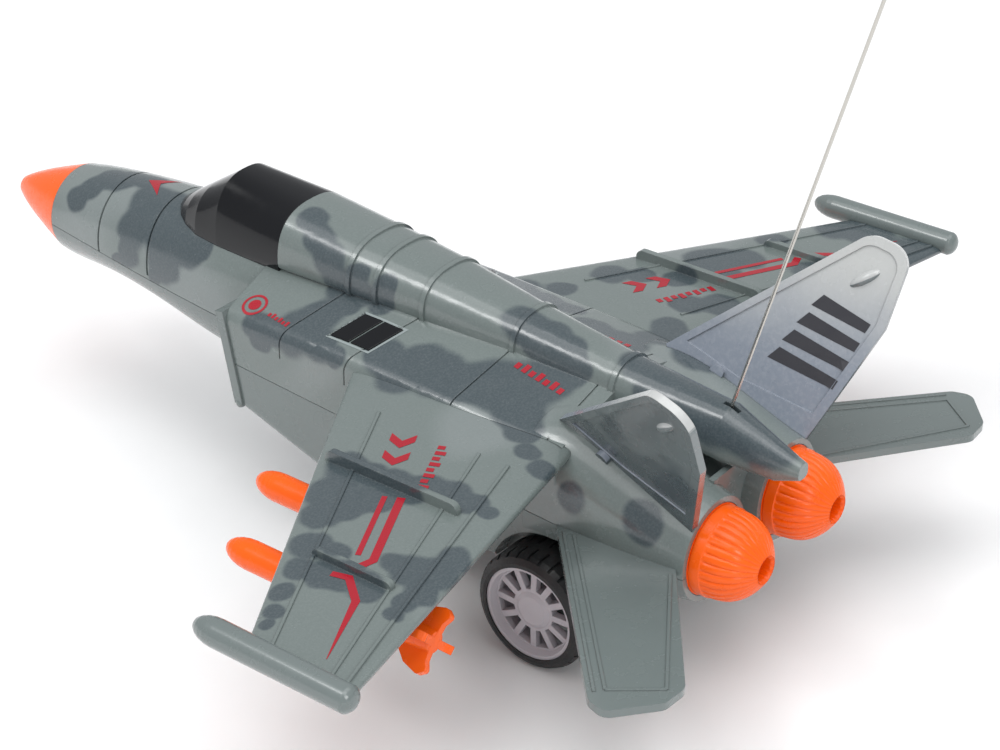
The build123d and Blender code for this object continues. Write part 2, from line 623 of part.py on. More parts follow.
def make_steering():
    y = FRONT_AXLE_Y
    crown_low = FRONT_TYRE_RADIUS * 2 + 0.8
    crown_top = FRONT_TYRE_RADIUS * 2 + 3.0
    half = FRONT_WHEEL_X - FRONT_TYRE_WIDTH / 2 - 1.2
    yoke = rod((0, y, crown_low), (0, y, crown_top), KINGPIN_RADIUS + 4.5)
    yoke = yoke + block((-half, half), (y - 4, y + 4), (FRONT_AXLE_Z, crown_low + 1))
    yoke = yoke + shaft((-half, half), y, FRONT_AXLE_Z, 4.0)
    yoke = yoke + rod((0, y, crown_top - 1), (0, y, BRACKET_Z + PLATE_THICK + 1.0), KINGPIN_RADIUS)
    yoke = yoke - shaft((-20, 20), y, FRONT_AXLE_Z, FRONT_AXLE_RADIUS + RUN_CLEARANCE)
    NODES["steering_yoke"] = yoke
    turn = 1.5 * math.pi
    NODES["steering_gear"] = gear_flat(STEER_TEETH, STEER_MODULE, 3.0, KINGPIN_RADIUS, 0, y, STEER_GEAR_Z, turn)

    motor_x = STEER_MODULE * (STEER_TEETH + STEER_PINION_TEETH) / 2
    turn = math.pi / 2 + math.pi / STEER_PINION_TEETH
    pinion = gear_flat(STEER_PINION_TEETH, STEER_MODULE, 3.0, 0.5, motor_x, y, STEER_GEAR_Z, turn)
    can_z = BRACKET_Z + PLATE_THICK
    NODES["steering_pinion"] = pinion + rod((motor_x, y, STEER_GEAR_Z), (motor_x, y, can_z + 3.0), 0.75)
    can = rod((motor_x, y, can_z), (motor_x, y, can_z + STEER_CAN_LENGTH), STEER_CAN_RADIUS)
    NODES["steering_motor"] = can - rod((motor_x, y, can_z - 1), (motor_x, y, can_z + 3.5), 0.75 + RUN_CLEARANCE)

    bracket = block((-16, motor_x + 9), (y - 6, y + 6), (BRACKET_Z, BRACKET_Z + PLATE_THICK))
    for x in (-13.8, motor_x + 6.8):
        floor = belly_z(y - 4) + WALL + 0.2
        bracket = bracket + block((x - 1.8, x + 1.8), (y - 4, y + 4), (floor, BRACKET_Z + 0.5))
    bracket = bracket - rod((0, y, 0), (0, y, 90), KINGPIN_RADIUS + RUN_CLEARANCE)
    bracket = bracket - rod((motor_x, y, 0), (motor_x, y, 90), 1.6)
    NODES["steering_bracket"] = bracket

    reach = FRONT_WHEEL_X + FRONT_TYRE_WIDTH / 2 - 1.0
    NODES["front_axle"] = shaft((-reach, reach), y, FRONT_AXLE_Z, FRONT_AXLE_RADIUS)
    half_width = FRONT_TYRE_WIDTH / 2
    rim = turned(((-half_width, FRONT_AXLE_RADIUS), (half_width - 1, FRONT_AXLE_RADIUS), (half_width - 1, 2.6),
                  (half_width - 2.4, 3.0), (half_width - 2.4, 6.6), (half_width - 0.4, 7.0),
                  (half_width - 0.4, FRONT_RIM_RADIUS), (-half_width + 0.4, FRONT_RIM_RADIUS),
                  (-half_width + 0.4, 7.0), (half_width - 4.4, 6.6), (half_width - 4.4, 2.6), (-half_width, 2.6)),
                 FRONT_WHEEL_X, y, FRONT_AXLE_Z, (1, 0, 0))
    tyre = tyre_ring(FRONT_WHEEL_X, y, FRONT_AXLE_Z, FRONT_TYRE_RADIUS, FRONT_RIM_RADIUS, FRONT_TYRE_WIDTH, 20)
    NODES["front_rims"] = Compound([rim, flip(rim)])
    NODES["front_tyres"] = Compound([tyre, flip(tyre)])


# ---------------------------------------------------------------- rear drive
def tyre_ring(x, y, z, radius, inner, width, blocks):
    """Rubber ring with rounded shoulders and cut tread."""
    half = width / 2
    soft = width * 0.16
    ring = turned(((-half, inner), (half, inner), (half, radius - soft), (half - soft * 0.4, radius - soft * 0.3),
                   (half - soft, radius), (-half + soft, radius), (-half + soft * 0.4, radius - soft * 0.3),
                   (-half, radius - soft)), x, y, z, (1, 0, 0))
    cuts = []
    for i in range(blocks):
        for side in (1, -1):
            angle = 360 / blocks * (i + (0.25 if side > 0 else -0.25))
            notch = Pos(side * half * 0.62, 0, radius) * Box(half * 0.9, radius * 0.045, radius * 0.09)
            cuts.append(Pos(x, y, z) * Rot(angle, 0, 0) * notch)
    return ring - cuts


def rear_rim():
    """Spoked rim with a wide hub."""
    half = REAR_TYRE_WIDTH / 2 - 0.6
    inner = REAR_RIM_RADIUS - 2.0
    rim = turned(((-half, AXLE_RADIUS), (half - 3.6, AXLE_RADIUS), (half - 3.6, 0), (half - 1.4, 0),
                  (half - 1.6, 5.0), (half - 2.4, 6.4), (half - 2.8, inner), (half, inner + 0.8),
                  (half, REAR_RIM_RADIUS), (-half, REAR_RIM_RADIUS), (-half, inner + 0.4),
                  (half - 5.0, inner - 0.4), (half - 5.0, 5.0), (-half, 4.4)), 0, 0, 0, (1, 0, 0))
    windows = []
    for i in range(REAR_SPOKES):
        middle = 360 / REAR_SPOKES * (i + 0.5)
        outer = inner - 0.6
        near = 7.4
        face = make_face(Polyline((near, -0.9), (outer, -2.5), (outer, 2.5), (near, 0.9), close=True))
        plane = Plane(origin=(half - 8, 0, 0), x_dir=(0, 1, 0), z_dir=(1, 0, 0))
        windows.append(Rot(middle, 0, 0) * (plane * extrude(face, 10)))
    return Pos(REAR_WHEEL_X, REAR_AXLE_Y, REAR_AXLE_Z) * (rim - windows)


def make_rear_drive():
    reach = REAR_WHEEL_X + REAR_TYRE_WIDTH / 2 - 4.2
    NODES["rear_axle"] = shaft((-reach, reach), REAR_AXLE_Y, REAR_AXLE_Z, AXLE_RADIUS)
    rim = rear_rim()
    tyre = tyre_ring(REAR_WHEEL_X, REAR_AXLE_Y, REAR_AXLE_Z, REAR_TYRE_RADIUS, REAR_RIM_RADIUS, REAR_TYRE_WIDTH, 30)
    NODES["left_rear_rim"] = rim
    NODES["right_rear_rim"] = flip(rim)
    NODES["left_rear_tyre"] = tyre
    NODES["right_rear_tyre"] = flip(tyre)

    bush_outer = REAR_WHEEL_X - REAR_TYRE_WIDTH / 2 - SIDE_CLEARANCE - 0.3
    bush = shaft((bush_outer - 4.5, bush_outer), REAR_AXLE_Y, REAR_AXLE_Z, BUSH_RADIUS)
    bush = bush + shaft((bush_outer - 5.5, bush_outer - 3.7), REAR_AXLE_Y, REAR_AXLE_Z, BUSH_RADIUS + 1.4)
    bush = bush - shaft((0, 60), REAR_AXLE_Y, REAR_AXLE_Z, AXLE_RADIUS + RUN_CLEARANCE)
    NODES["axle_bushes"] = Compound([bush, flip(bush)])

    near = PLATE_THICK + 0.8
    far = near + GEAR_WIDTH + 0.9
    final = gear(FINAL_TEETH, GEAR_MODULE, GEAR_WIDTH, AXLE_RADIUS, near, REAR_AXLE_Y, REAR_AXLE_Z)
    NODES["final_gear"] = final
    lean = math.atan2(IDLER_LEAN[1], IDLER_LEAN[0])
    mesh = lean + math.pi + math.pi / IDLER_PINION_TEETH
    mesh = mesh + (lean % (2 * math.pi / FINAL_TEETH)) * FINAL_TEETH / IDLER_PINION_TEETH
    pinion = gear(IDLER_PINION_TEETH, GEAR_MODULE, far - near, IDLER_BORE, near, IDLER_Y, IDLER_Z, mesh)
    wheel = gear(IDLER_TEETH, GEAR_MODULE, GEAR_WIDTH, IDLER_BORE, far, IDLER_Y, IDLER_Z, mesh)
    NODES["idler_gear"] = pinion + wheel
    lean = math.atan2(MOTOR_LEAN[1], MOTOR_LEAN[0])
    offset = (lean - mesh) % (2 * math.pi / IDLER_TEETH)
    turn = lean + math.pi + math.pi / MOTOR_TEETH + offset * IDLER_TEETH / MOTOR_TEETH
    teeth = gear(MOTOR_TEETH, GEAR_MODULE, GEAR_WIDTH, 0.6, far, MOTOR_Y, MOTOR_Z, turn)
    NODES["motor_pinion"] = teeth + shaft((-MOTOR_LENGTH + 2, far + GEAR_WIDTH), MOTOR_Y, MOTOR_Z, 1.0)

    z0 = REAR_AXLE_Z - 8.0
    z1 = MOTOR_Z + 8.0
    last = far + GEAR_WIDTH + 0.8
    plates = []
    for x in (0.0, last):
        plate = block((x, x + PLATE_THICK), (REAR_AXLE_Y - 14, REAR_AXLE_Y + 8), (z0, BELLY_Z + 11))
        plate = plate + block((x, x + PLATE_THICK), (MOTOR_Y - 8, MOTOR_Y + 9), (BELLY_Z + WALL + 1, z1))
        plate = plate - shaft((x - 1, x + 5), REAR_AXLE_Y, REAR_AXLE_Z, AXLE_RADIUS + RUN_CLEARANCE)
        plate = plate - shaft((x - 1, x + 5), IDLER_Y, IDLER_Z, IDLER_BORE - RUN_CLEARANCE)
        plate = plate - shaft((x - 1, x + 5), MOTOR_Y, MOTOR_Z, 3.2)
        plates.append(plate)
    pins = [shaft((0, last + PLATE_THICK), IDLER_Y, IDLER_Z, IDLER_BORE - RUN_CLEARANCE)]
    for y, z in ((MOTOR_Y - 5.5, z1 - 3.4), (MOTOR_Y + 6.5, z1 - 3.0), (REAR_AXLE_Y - 12, z0 + 3.4)):
        pins.append(shaft((PLATE_THICK, last), y, z, 1.8))
    NODES["gearbox_plates"] = Compound(plates)
    NODES["gearbox_pins"] = Compound(pins)
    can = shaft((-MOTOR_LENGTH, 0), MOTOR_Y, MOTOR_Z, MOTOR_RADIUS)
    flats = block((-MOTOR_LENGTH - 1, 1), (MOTOR_Y - 15, MOTOR_Y + 15), (MOTOR_Z - 7.6, MOTOR_Z + 7.6))
    can = can & flats
    can = can - shaft((-MOTOR_LENGTH + 1.5, 1), MOTOR_Y, MOTOR_Z, 1.0 + RUN_CLEARANCE)
    NODES["motor_can"] = can


# ---------------------------------------------------------------- electronics
def board_posts():
    y0 = INTAKE_Y - 40.0
    posts = []
    for x in (-10, 10):
        for y in (y0 + 4, y0 + 44):
            posts.append(rod((x, y, 40), (x, y, BOARD_Z), 1.8))
    return posts


def make_electronics():
    y0 = INTAKE_Y - 40.0
    top = BOARD_Z + 1.6
    NODES["receiver_board"] = block((-13, 13), (y0, y0 + 48), (BOARD_Z, top))
    NODES["control_chip"] = block((-5, 5), (y0 + 20, y0 + 27), (top, top + 1.8))
    NODES["crystal_can"] = block((6, 10.5), (y0 + 6, y0 + 16), (top, top + 3.4))
    NODES["tuning_coil"] = rod((-8, y0 + 11, top), (-8, y0 + 11, top + 7), 3.4)
    caps = [rod((x, y, top), (x, y, top + 9), 2.6) for x, y in ((7, y0 + 34), (0, y0 + 40))]
    NODES["capacitors"] = Compound(caps)


# ---------------------------------------------------------------- aerial
def spine_top(y):
    """Height of the spine's ridge near the aerial."""
    back = y - (RIM_Y - 9.0)
    return 85.4 - back * 7.4 / 18.0


def aerial_slot():
    lean = math.tan(math.radians(AERIAL_LEAN))
    middle = AERIAL_Y + (spine_top(AERIAL_Y) - AERIAL_PIVOT_Z) * lean
    return block((-0.9, 0.9), (middle - 2.8, middle + 2.8), (AERIAL_PIVOT_Z - 1, AERIAL_PIVOT_Z + 12))


def make_aerial(cavity):
    base = (0, AERIAL_Y, AERIAL_PIVOT_Z)
    lean = math.radians(AERIAL_LEAN)
    tip = (0, AERIAL_Y + AERIAL_LENGTH * math.sin(lean), AERIAL_PIVOT_Z + AERIAL_LENGTH * math.cos(lean))
    wire = rod(base, tip, AERIAL_RADIUS) + Pos(*tip) * Sphere(AERIAL_RADIUS * 1.7)
    wire = wire + shaft((-0.8, 0.8), AERIAL_Y, AERIAL_PIVOT_Z, 1.6)
    NODES["aerial_wire"] = wire - shaft((-5, 5), AERIAL_Y, AERIAL_PIVOT_Z, PIN_RADIUS + RUN_CLEARANCE)
    NODES["aerial_pin"] = shaft((-2.6, 2.6), AERIAL_Y, AERIAL_PIVOT_Z, PIN_RADIUS)
    cheeks = []
    for side in (1, -1):
        limits = sorted((side * 1.2, side * 2.6))
        cheek = block(limits, (AERIAL_Y - 2.5, AERIAL_Y + 3.5), (AERIAL_PIVOT_Z - 2.4, AERIAL_PIVOT_Z + 8))
        cheek = cheek - shaft((-5, 5), AERIAL_Y, AERIAL_PIVOT_Z, PIN_RADIUS)
        cheeks.append(cheek & cavity)
    NODES["aerial_bracket"] = Compound(cheeks)


# ---------------------------------------------------------------- nose, intakes, nozzles
def make_nose_cone():
    profile = [(0, 0)]
    for i in range(1, 13):
        t = i / 12
        profile.append((CONE_LENGTH * t, CONE_RADIUS * (0.09 * (1 - t) * min(1, 12 * t) + t ** 0.78)))
    profile = profile + [(CONE_LENGTH, CONE_RADIUS - WALL - 0.2), (CONE_LENGTH + CONE_SPIGOT, CONE_RADIUS - WALL - 0.2),
                         (CONE_LENGTH + CONE_SPIGOT, CONE_RADIUS - 2 * WALL), (CONE_LENGTH - 2, CONE_RADIUS - 2 * WALL),
                         (8, 1.0), (8, 0)]
    NODES["nose_cone"] = turned(profile, 0, NOSE_TIP_Y, CONE_Z, (0, 1, 0))


def make_intake_frames(outer):
    rim = block((MOUTH_INNER_X - 2.5, BODY_HALF_WIDTH + 0.8), (-FRAME_THICK, 0),
                (BELLY_FRONT_Z - DECK_Z - 0.6, 0.6))
    frame = FRONT_FACE * rim - nose_volume(0) - mouth()
    peg = FRONT_FACE * Pos(BODY_HALF_WIDTH - 0.4, -FRAME_THICK / 2, BELLY_FRONT_Z - DECK_Z - 0.8) * Sphere(1.7)
    frame = frame + peg
    NODES["left_intake_frame"] = frame - outer
    NODES["right_intake_frame"] = flip(frame) - outer


def make_nozzles():
    spigot = NOZZLE_RADIUS - 0.3
    steps = 10
    outside = []
    inside = []
    for i in range(steps + 1):
        u = i / steps
        bulge = 1 - u ** 3.6
        outside.append((NOZZLE_LENGTH * u, NOZZLE_EXIT + (NOZZLE_RADIUS - NOZZLE_EXIT) * bulge))
        bore = NOZZLE_EXIT - NOZZLE_WALL + (NOZZLE_RADIUS - NOZZLE_EXIT) * bulge
        inside.append((NOZZLE_LENGTH * u - (0.8 if 0 < u < 1 else 0), bore))
    flange = NOZZLE_RADIUS + 0.4
    profile = [(-NOZZLE_SPIGOT, spigot - NOZZLE_WALL), (-NOZZLE_SPIGOT, spigot), (-1.5, spigot)]
    profile = profile + [(-1.5, flange), (0, flange)] + outside + inside[::-1][:-1] + [(1.0, spigot - NOZZLE_WALL)]
    nozzle = turned(profile, NACELLE_X, RIM_Y, RIM_Z, (0, 1, 0))
    web_y = RIM_Y - NOZZLE_SPIGOT + 1.0
    web = rod((NACELLE_X, web_y, RIM_Z), (NACELLE_X, web_y + 1.6, RIM_Z), spigot - NOZZLE_WALL + 0.4)
    web = web - rod((NACELLE_X, web_y - 1, RIM_Z), (NACELLE_X, web_y + 4, RIM_Z), LAMP_RADIUS)
    nozzle = nozzle + web
    NODES["left_nozzle"] = nozzle
    NODES["right_nozzle"] = flip(nozzle)
    lamp = rod((NACELLE_X, web_y - 3, RIM_Z), (NACELLE_X, RIM_Y + NOZZLE_LENGTH - 7, RIM_Z), LAMP_RADIUS)
    lamp = lamp + Pos(NACELLE_X, RIM_Y + NOZZLE_LENGTH - 7, RIM_Z) * Sphere(LAMP_RADIUS)
    NODES["nozzle_lamps"] = Compound([lamp, flip(lamp)])


def make_rear_bulkhead(outer):
    place = RIM_Y - 8.0
    plate = block((-13, 13), (place, place + 2.2), (RIM_Z - 15, RIM_Z + 18))
    NODES["rear_bulkhead"] = plate - outer


def make_vents(outer):
    skin = body_volume(-0.4) - outer
    plates = []
    for i in range(2):
        near = INTAKE_Y + 48.6 + i * 8.4
        corners = ((21.3, near), (33.0, near - 4.6), (33.0, near - 4.6 + 7.4), (21.3, near + 7.4))
        prism = extrude(make_face(Polyline(*corners, close=True)), 30)
        plate = (Pos(0, 0, 70) * prism) & skin
        plates.append(plate)
        plates.append(flip(plate))
    NODES["vent_panels"] = Compound(plates)


# ---------------------------------------------------------------- wings and tail
def leading_edge(x):
    return INTAKE_Y + WING_LE + WING_SWEEP * (x - WING_ROOT_X)


def trailing_edge(x):
    return INTAKE_Y + WING_LE + WING_CHORD + WING_TE_SWEEP * (x - WING_ROOT_X)


def wing_top(x):
    return WING_TOP_Z - WING_DROP * (x - WING_ROOT_X)


def wing_section(x):
    share = (x - WING_ROOT_X) / (HALF_SPAN - WING_ROOT_X)
    thick = WING_THICK_ROOT + (WING_THICK_TIP - WING_THICK_ROOT) * share
    half = (trailing_edge(x) - leading_edge(x)) / 2
    middle_y = (trailing_edge(x) + leading_edge(x)) / 2
    middle_z = wing_top(x) - thick / 2
    points = []
    for i in range(32):
        c, s = power_curve(2 * math.pi * i / 32, 4.0)
        points.append(Vector(x, middle_y + half * c, middle_z + thick / 2 * s))
    return make_face(Spline(*points, periodic=True))


def ridge(start, end, width, height):
    """Raised bead along a line on a surface, sunk a little into it."""
    line = Vector(*end) - Vector(*start)
    place = Plane(origin=Vector(*start), x_dir=line, z_dir=Vector(0, 0, 1) - line * (line.Z / line.length ** 2))
    return place * Pos(line.length / 2, 0, (height - 1.0) / 2) * Box(line.length, width, height + 1.0)


def wing_point(x, share):
    """Point on the wing's top at a share of the chord."""
    y = leading_edge(x) + (trailing_edge(x) - leading_edge(x)) * share
    return (x, y, wing_top(x))


def make_wings(outer):
    tip = HALF_SPAN - RAIL_RADIUS * 0.5
    wing = loft([wing_section(WING_ROOT_X - 12), wing_section(tip)], ruled=True)
    root = WING_ROOT_X + 14
    end = HALF_SPAN - RAIL_RADIUS - 0.5
    for start_share, end_share in ((0.20, 0.22), (0.70, 0.78), (0.84, 0.92)):
        wing = wing + ridge(wing_point(root, start_share), wing_point(end, end_share), 1.0, 0.4)
    for x, ahead, length, height in FENCE_SPANS:
        y = leading_edge(x) + ahead
        fence = block((x - 1.1, x + 1.1), (y, y + length), (wing_top(x) - 1.5, wing_top(x) + height))
        fence = fillet(fence.edges().filter_by(Axis.X).sort_by(Axis.Z)[-2:], height * 0.8)
        wing = wing + fence
    wing = wing - outer
    rail_y = leading_edge(HALF_SPAN) - RAIL_AHEAD
    r = RAIL_RADIUS
    profile = [(0, 0)]
    for turn in range(15, 91, 15):
        a = math.radians(turn)
        profile.append((2.0 * r * (1 - math.cos(a)), r * math.sin(a)))
    for turn in range(75, -1, -15):
        a = math.radians(turn)
        profile.append((RAIL_LENGTH - 0.8 * r * (1 - math.cos(a)), r * math.sin(a)))
    rail = turned(profile, HALF_SPAN, rail_y, wing_top(HALF_SPAN) + RAIL_RISE, (0, 1, 0)) - wing
    NODES["left_wing"] = wing
    NODES["right_wing"] = flip(wing)
    NODES["left_wingtip_rail"] = rail
    NODES["right_wingtip_rail"] = flip(rail)
    return wing


def make_missiles(wing):
    names = ("inner", "outer")
    r = MISSILE_RADIUS
    for name, x, end in zip(names, MISSILE_XS, MISSILE_LENGTHS):
        y = leading_edge(x) - MISSILE_AHEAD
        profile = [(0, 0)] + [(9.5 * (1 - math.cos(math.radians(a))), r * math.sin(math.radians(a)))
                              for a in range(15, 91, 15)]
        profile = profile + [(end - 20, r), (end - 2, r * 0.72), (end - 2, 0)]
        missile = turned(profile, x, y, MISSILE_Z, (0, 1, 0))
        lobe = make_face(Polyline((end - 21, 0), (end - 14, 3.4), (end - 8, 8.6), (end - 2.5, 10.2), (end, 8.4),
                                  (end - 1.6, 5.4), (end - 2, 0), close=True))
        lobe = fillet(lobe.vertices().sort_by(Axis.Y)[-3:], 1.2)
        plate = extrude(lobe, 1.3, both=True)
        for turn in (45, 135, 225, 315):
            place = Plane(origin=(x, y, MISSILE_Z), x_dir=(0, 1, 0), z_dir=(1, 0, 0))
            missile = missile + place * Rot(turn, 0, 0) * plate
        front = y + MISSILE_AHEAD + 3
        pylon = block((x - 1.6, x + 1.6), (front, front + 31), (MISSILE_Z + 2, wing_top(x) - 1.0))
        missile = missile + (pylon - wing)
        NODES["left_%s_missile" % name] = missile
        NODES["right_%s_missile" % name] = flip(missile)


def make_fins(outer):
    cant = math.radians(FIN_CANT)
    toe = math.radians(FIN_TOE)
    up = Vector(math.sin(cant), 0, math.cos(cant))
    back = Vector(math.sin(toe), math.cos(toe), -math.tan(cant) * math.sin(toe)).normalized()
    base = Vector(FIN_BASE[0], NACELLE_Y - 2.0, FIN_BASE[2])
    place = Plane(origin=base, x_dir=back, z_dir=back.cross(up))
    face = make_face(Polyline((0, 0), (54.0, 52.6), (68.3, 50.5), (66.5, 25.0), (56.0, -4.9), (52.0, -16.0),
                              (6.0, -10.0), close=True))
    face = fillet(face.vertices().sort_by(Axis.Y)[-2:], 7.5)
    plate = extrude(face, FIN_THICK / 2 - 0.5, both=True)
    border = extrude(face, FIN_THICK / 2, both=True)
    inner = make_face(Polyline((6.5, 3.0), (54.4, 49.4), (65.4, 47.6), (63.4, 25.5), (52.0, -6.5), (26.0, -3.0),
                               close=True))
    inner = fillet(inner.vertices().sort_by(Axis.Y)[-2:], 5.5)
    border = border - extrude(inner, FIN_THICK, both=True)
    pin = Pos(19.0, -3.5, 0) * Cylinder(2.4, FIN_THICK + 3.6)
    blister = Pos(56.0, 38.5, 0) * Rot(0, 0, 42) * scale(Sphere(1.0), by=(5.6, 1.8, FIN_THICK / 2 + 1.0))
    fin = (place * (plate + border + pin + blister)) - outer
    solids = fin.solids().sort_by(SortBy.VOLUME)
    fin = solids[-1]
    NODES["left_fin"] = fin
    NODES["right_fin"] = flip(fin)


def make_tailplanes(outer):
    y = RIM_Y
    face = make_face(Polyline((26.0, y - 57.5), (103.5, y + 13.0), (105.5, y + 19.5), (92.0, y + 31.0),
                              (83.0, y + 31.6), (30.0, y - 8.0), close=True))
    face = fillet(face.vertices().sort_by(Axis.X)[-4:], 4.5)
    plate = Pos(0, 0, TAILPLANE_Z - TAILPLANE_THICK / 2) * extrude(face, TAILPLANE_THICK)
    top = TAILPLANE_Z + TAILPLANE_THICK / 2
    for start, end in (((42, y - 40.5, top), (100.0, y + 12.6, top)), ((42, y - 36.5, top), (97.5, y + 14.6, top)),
                       ((41, y - 2.0, top), (87.0, y + 28.0, top)), ((97.5, y + 14.6, top), (87.0, y + 28.0, top))):
        plate = plate + ridge(start, end, 1.0, 0.45)
    plate = plate - outer
    solids = plate.solids().sort_by(SortBy.VOLUME)
    NODES["left_tailplane"] = solids[-1]
    NODES["right_tailplane"] = flip(solids[-1])


# ---------------------------------------------------------------- assembly
OUTER, CAVITY = make_shells()
make_battery_bay()
make_screws()
make_switch()
make_steering()
make_rear_drive()
make_electronics()
make_aerial(CAVITY)
make_nose_cone()
make_intake_frames(OUTER)
make_nozzles()
make_rear_bulkhead(OUTER)
make_vents(OUTER)
WING = make_wings(OUTER)
make_missiles(WING)
make_fins(OUTER)
make_tailplanes(OUTER)

os.makedirs("parts", exist_ok=True)
for name, shape in NODES.items():
    export_step(shape, "parts/%s.step" % name)
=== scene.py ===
import json
import math
import bmesh
import bpy
from mathutils import Matrix, Vector
from mathutils.bvhtree import BVHTree


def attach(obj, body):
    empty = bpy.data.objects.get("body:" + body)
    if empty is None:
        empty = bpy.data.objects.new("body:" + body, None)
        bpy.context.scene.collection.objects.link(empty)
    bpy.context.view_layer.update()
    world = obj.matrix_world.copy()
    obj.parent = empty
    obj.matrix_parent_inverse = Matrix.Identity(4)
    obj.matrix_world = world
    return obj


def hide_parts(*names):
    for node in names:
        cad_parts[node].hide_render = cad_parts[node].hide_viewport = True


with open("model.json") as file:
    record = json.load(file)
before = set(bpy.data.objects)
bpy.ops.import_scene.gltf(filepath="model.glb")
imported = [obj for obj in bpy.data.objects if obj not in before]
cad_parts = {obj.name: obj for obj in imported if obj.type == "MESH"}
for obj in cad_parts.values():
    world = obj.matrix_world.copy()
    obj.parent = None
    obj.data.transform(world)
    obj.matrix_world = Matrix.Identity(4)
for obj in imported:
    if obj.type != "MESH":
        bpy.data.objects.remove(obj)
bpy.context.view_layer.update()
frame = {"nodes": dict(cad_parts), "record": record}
NODES = frame["nodes"]
MM = 0.001

# Sprayed patches: (x, y, z, radius) in millimetres, in the row frame.
PATCHES = [
    (14, -140, 78, 5.4), (10, -136, 83, 5.4), (4, -132, 86, 5.7), (2, -125, 87, 6.4), (0, -117, 88, 6.3),
    (9, -108, 86, 8.1), (17, -108, 79, 8.1), (20, -109, 70, 5.8), (20, -115, 64, 3.6), (9, -100, 87, 8.2),
    (17, -91, 81, 10.2), (21, -90, 72, 7.9), (19, -79, 78, 6.6), (18, -74, 81, 4.5), (21, -95, 66, 3.4),
    (9, -30, 102, 5.8), (14, -24, 99, 5.8), (16, -18, 94, 6.3), (17, -13, 87, 6.3), (16, -6, 94, 4.2),
    (17, -4, 88, 4.2), (16, 4, 88, 5.2), (15, 6, 93, 3.8), (39, -30, 76, 5.8), (40, -27, 70, 4.2),
    (39, -22, 76, 5.4), (35, -14, 78, 9), (38, -4, 77, 6.3), (39, 3, 76, 4.2), (28, -12, 81, 7.6),
    (20, -8, 83, 5.7), (32, 19, 79, 7.4), (36, 28, 78, 8.6), (30, 32, 79, 8.6), (31, 40, 79, 8.6),
    (31, 49, 78, 8.6), (27, 57, 79, 10.9), (24, 66, 79, 12.1), (31, 72, 77, 8.4), (16, 71, 81, 9.8),
    (37, 79, 75, 5.8), (44, 86, 74, 4.1), (6, 56, 92, 7.4), (7, 65, 90, 7.2), (8, 73, 88, 6.4),
    (10, 78, 85, 4.9), (10, 62, 88, 4.5), (-29, 38, 79, 5.8), (-29, 48, 79, 5.8), (-36, 21, 78, 7.8),
    (7, 104, 84, 6), (7, 114, 84, 6.8), (6, 125, 82, 6.8), (5, 136, 80, 5.8), (2, 114, 86, 5.2),
    (40, 98, 61, 5.8), (38, 122, 60, 6.3), (49, 93, 74, 4.1), (83, 46, 73, 6.4), (76, 72, 73, 6.3),
    (74, 79, 73, 6.3), (75, 87, 73, 5.1), (76, 94, 73, 3), (94, 50, 72, 7.4), (105, 55, 71, 6.8),
    (118, 63, 71, 6.3), (128, 68, 70, 4.8), (116, 71, 71, 5.1), (125, 75, 70, 6), (123, 81, 71, 5.4),
    (124, 89, 71, 4.8), (98, 59, 72, 5.7), (92, 60, 72, 6.3), (89, 65, 72, 5.1), (110, 88, 71, 4.8),
    (110, 94, 71, 7.2), (106, 100, 71, 7.2), (98, 101, 72, 5.4), (116, 102, 71, 5.4), (122, 101, 71, 3.8),
    (128, 101, 70, 3.3), (138, 71, 70, 3.9), (146, 75, 69, 3.8), (152, 77, 69, 2.7), (-151, 90, 69, 9.8),
    (-62, 72, 74, 6.4), (-70, 47, 73, 5.2), (-43, 33, 75, 4.7), (82, 54, 73, 5.4), (80, 63, 73, 6.3),
    (80, 70, 73, 6.3), (-63, 38, 74, 7), (-68, 81, 74, 7), (-150, 110, 69, 12), (-149, 80, 69, 9),
    (-97, 59, 72, 9), (-44, 75, 75, 6), (-112, 92, 71, 9), (-86, 34, 73, 6), (-124, 66, 71, 6),
    (-20, -84, 72, 8), (-14, -132, 76, 5), (-36, -22, 77, 8), (-30, 96, 76, 9), (-16, -6, 94, 7),
    (-14, 46, 88, 8), (-16, -20, 92, 6), (-20, 62, 80, 8), (-1, 96, 88, 8), (-2, 108, 87, 12),
    (-1, 128, 84, 13), (1, 143, 79, 10), (-40, 30, 66, 8), (-40, -10, 68, 7), (-38, 112, 60, 7),
    (20, 118, 68, 5), (-11, -127, 83, 6.5), (-15, -118, 80, 8), (-18, -108, 75, 8.5), (-19, -100, 80, 6),
    (-17, -90, 82, 6), (-20, -96, 68, 6), (-33, 18, 79, 8), (-37, 5, 77, 7), (-26, 28, 80, 8), (-20, 74, 80, 9),
    (-34, 80, 76, 8), (-90, 66, 72, 7), (-104, 68, 71, 7), (-120, 96, 71, 7), (-76, 58, 73, 6),
]


